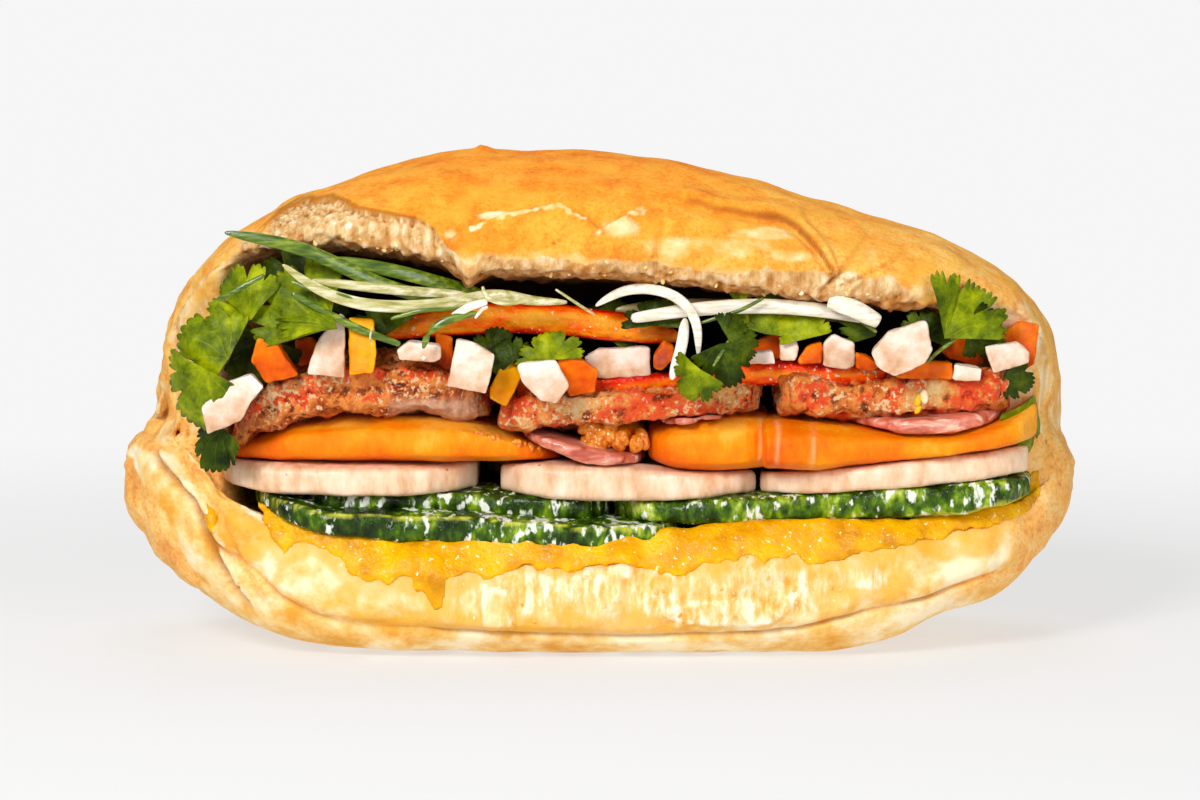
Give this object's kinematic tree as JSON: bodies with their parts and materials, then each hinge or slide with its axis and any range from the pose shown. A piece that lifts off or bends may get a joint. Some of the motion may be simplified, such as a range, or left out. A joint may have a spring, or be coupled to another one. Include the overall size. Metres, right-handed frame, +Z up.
{
  "type": "banh mi sandwich",
  "caption": "Split crusty bread roll hinged along its back, filled with sliced cucumber, pork roll, tomato, ham, roast pork, pickles, pepper and spring onion",
  "frame": {"origin": "centre of the whole object's box on the surface that the roll rests on", "axes": "+X along the roll to the right as seen from the open side, -Y out of the open side, +Z up"},
  "size_m": [0.2, 0.0876, 0.1032],
  "materials": {
    "bread": null,
    "cucumber": null,
    "pork_roll": null,
    "tomato": null,
    "ham": null,
    "roast_pork": null,
    "daikon": null,
    "carrot": null,
    "pepper": null,
    "onion_leaf": null,
    "onion_stem": null
  },
  "bodies": {
    "root": {"bread_roll": "bread", "carrot_b": "carrot", "carrot_b_back": "carrot", "carrot_d": "carrot", "carrot_f": "carrot", "carrot_h": "carrot", "carrot_h_back": "carrot", "carrot_j": "carrot", "carrot_l": "carrot", "carrot_m_back": "carrot", "carrot_o": "carrot", "carrot_q": "carrot", "carrot_s": "carrot", "carrot_u": "carrot", "carrot_w": "carrot", "cucumber_left_high": "cucumber", "cucumber_left_low": "cucumber", "cucumber_right_high": "cucumber", "cucumber_right_low": "cucumber", "daikon_a": "daikon", "daikon_c": "daikon", "daikon_e": "daikon", "daikon_g": "daikon", "daikon_i": "daikon", "daikon_k": "daikon", "daikon_m": "daikon", "daikon_n": "daikon", "daikon_p": "daikon", "daikon_r": "daikon", "daikon_t": "daikon", "daikon_v": "daikon", "ham_middle": "ham", "ham_right": "ham", "ham_thin": "ham", "onion_blade": "onion_stem", "onion_cream_strip": "onion_stem", "onion_green_curl": "onion_leaf", "onion_green_long": "onion_leaf", "onion_green_short": "onion_leaf", "onion_pale_strip": "onion_stem", "onion_ring": "onion_stem", "onion_stalk": "onion_stem", "pepper_end": "pepper", "pepper_low": "pepper", "pepper_right": "pepper", "pepper_top": "pepper", "pepper_under": "pepper", "pork_roll_left": "pork_roll", "pork_roll_middle_back": "pork_roll", "pork_roll_middle_front": "pork_roll", "pork_roll_right_back": "pork_roll", "pork_roll_right_front": "pork_roll", "roast_pork_left": "roast_pork", "roast_pork_middle": "roast_pork", "roast_pork_right": "roast_pork", "tomato_core": "tomato", "tomato_left": "tomato", "tomato_middle": "tomato", "tomato_right": "tomato"}
  },
  "joints": []
}
